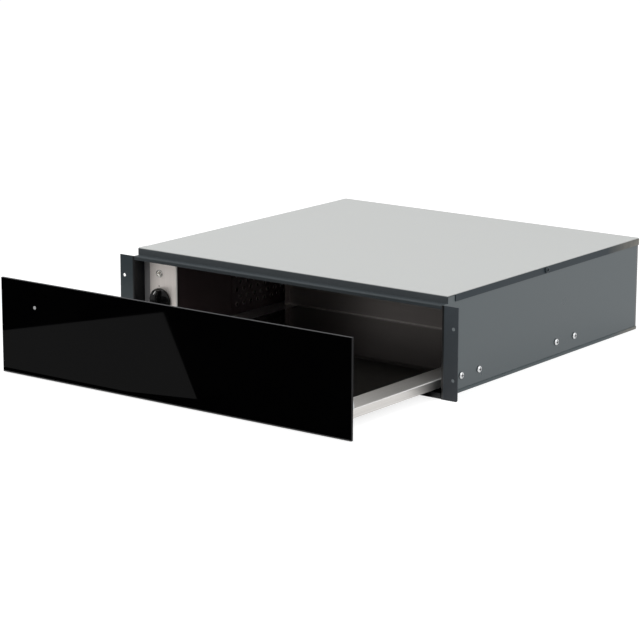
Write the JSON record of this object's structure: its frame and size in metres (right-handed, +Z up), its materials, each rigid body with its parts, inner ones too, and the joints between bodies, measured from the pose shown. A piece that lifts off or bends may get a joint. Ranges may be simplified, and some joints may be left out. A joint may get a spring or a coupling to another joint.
{
  "type": "warming drawer",
  "caption": "Built-in warming drawer: folded steel case with mounting flanges, black glass front, steel tray on telescopic runners, thermostat knob and hot-air fan.",
  "frame": {"origin": "underside of the case, in the middle of its front plane", "axes": "+X to the right seen from the front, +Y to the back, +Z up; the drawer slides out along -Y"},
  "size_m": [0.595, 0.7702, 0.1386],
  "materials": {
    "charcoal_paint": "satin powder coat, charcoal with a blue cast",
    "pale_paint": "satin light grey",
    "grille_steel": "dark enamel",
    "zinc_steel": "zinc plated",
    "runner_steel": "zinc plated, drawn",
    "ball_steel": "polished",
    "mineral_wool": "matted fibre",
    "brushed_fascia": "brushed",
    "dark_bracket": "satin",
    "chrome": "polished",
    "lamp_lens": "clear",
    "thermostat_steel": "plain",
    "copper": "plain",
    "element_steel": "heat tinted",
    "black_moulding": "matt",
    "motor_steel": "varnished laminations",
    "fan_aluminium": "plain",
    "shaft_steel": "ground",
    "terminal_moulding": "matt",
    "screw_steel": "bright",
    "satin_steel": "satin",
    "tray_panel_steel": "satin",
    "tray_glass": "black, polished",
    "front_bracket_steel": "satin",
    "backing_steel": "satin black",
    "front_black_glass": "black, polished",
    "window_clear": "clear",
    "bumper_rubber": "matt",
    "knob_black": "semi-gloss",
    "plunger_moulding": "plain"
  },
  "bodies": {
    "case": {"base_pan": "charcoal_paint", "left_side_panel": "charcoal_paint", "right_side_panel": "charcoal_paint", "back_panel": "charcoal_paint", "front_top_rail": "charcoal_paint", "partition": "charcoal_paint", "top_cover": "pale_paint", "hot_air_grille": "grille_steel", "chamber_ceiling": "zinc_steel", "left_runner_bracket": "zinc_steel", "right_runner_bracket": "zinc_steel", "heater_box": "zinc_steel", "fan_housing": "zinc_steel", "thermostat_nut": "zinc_steel", "left_runner_outer": "runner_steel", "right_runner_outer": "runner_steel", "insulation_mat": "mineral_wool", "control_fascia": "brushed_fascia", "fascia_bracket": "dark_bracket", "pilot_lamp_holder": "chrome", "pilot_lens": "lamp_lens", "thermostat_body": "thermostat_steel", "sensor_bulb": "copper", "heater_element": "element_steel", "thermal_cutout": "black_moulding", "cable_gland": "black_moulding", "latch_body": "black_moulding", "fan_motor": "motor_steel", "terminal_block": "terminal_moulding", "case_screws": "screw_steel", "cover_screws": "screw_steel"},
    "drawer": {"left_runner_inner": "runner_steel", "right_runner_inner": "runner_steel", "drawer_tray": "satin_steel", "tray_back_panel": "tray_panel_steel", "tray_glass_plate": "tray_glass", "left_front_bracket": "front_bracket_steel", "right_front_bracket": "front_bracket_steel", "front_backing": "backing_steel", "front_glass": "front_black_glass", "indicator_window": "window_clear", "front_bumpers": "bumper_rubber", "front_screws": "screw_steel"},
    "left_middle": {"left_runner_middle": "runner_steel"},
    "right_middle": {"right_runner_middle": "runner_steel"},
    "left_lower_balls": {"left_lower_cage": "ball_steel"},
    "right_lower_balls": {"right_lower_cage": "ball_steel"},
    "left_upper_balls": {"left_upper_cage": "ball_steel"},
    "right_upper_balls": {"right_upper_cage": "ball_steel"},
    "thermostat_knob": {"knob": "knob_black", "knob_spindle": "shaft_steel"},
    "latch_pin": {"latch_plunger": "plunger_moulding"},
    "fan_rotor": {"fan_impeller": "fan_aluminium", "fan_shaft": "shaft_steel"}
  },
  "joints": [
    {"name": "drawer_slide", "type": "slide", "parent": "case", "child": "drawer", "axis": [0, -1, 0], "range_m": [-0.2232, 0.1768]},
    {"name": "left_middle_slide", "type": "slide", "parent": "case", "child": "left_middle", "axis": [0, -1, 0], "range_m": [-0.1116, 0.0884]},
    {"name": "right_middle_slide", "type": "slide", "parent": "case", "child": "right_middle", "axis": [0, -1, 0], "range_m": [-0.1116, 0.0884]},
    {"name": "left_lower_ball_slide", "type": "slide", "parent": "case", "child": "left_lower_balls", "axis": [0, -1, 0], "range_m": [-0.0558, 0.0442]},
    {"name": "right_lower_ball_slide", "type": "slide", "parent": "case", "child": "right_lower_balls", "axis": [0, -1, 0], "range_m": [-0.0558, 0.0442]},
    {"name": "left_upper_ball_slide", "type": "slide", "parent": "case", "child": "left_upper_balls", "axis": [0, -1, 0], "range_m": [-0.1674, 0.1326]},
    {"name": "right_upper_ball_slide", "type": "slide", "parent": "case", "child": "right_upper_balls", "axis": [0, -1, 0], "range_m": [-0.1674, 0.1326]},
    {"name": "knob_turn", "type": "hinge", "parent": "case", "child": "thermostat_knob", "pos_m": [-0.235, 0.01, 0.063], "axis": [0, 1, 0], "range_deg": [0, 270]},
    {"name": "latch_press", "type": "slide", "parent": "case", "child": "latch_pin", "axis": [0, 1, 0], "range_m": [0, 0.004], "stiffness_N_per_m": 1200, "springref_m": -0.004},
    {"name": "fan_spin", "type": "hinge", "parent": "case", "child": "fan_rotor", "pos_m": [-0.221, 0.392, 0.066], "axis": [1, 0, 0], "continuous": true}
  ],
  "couplings": [
    {"joint": "left_middle_slide", "follows": "drawer_slide", "ratio": 0.5},
    {"joint": "right_middle_slide", "follows": "drawer_slide", "ratio": 0.5},
    {"joint": "left_lower_ball_slide", "follows": "drawer_slide", "ratio": 0.25},
    {"joint": "right_lower_ball_slide", "follows": "drawer_slide", "ratio": 0.25},
    {"joint": "left_upper_ball_slide", "follows": "drawer_slide", "ratio": 0.75},
    {"joint": "right_upper_ball_slide", "follows": "drawer_slide", "ratio": 0.75}
  ]
}
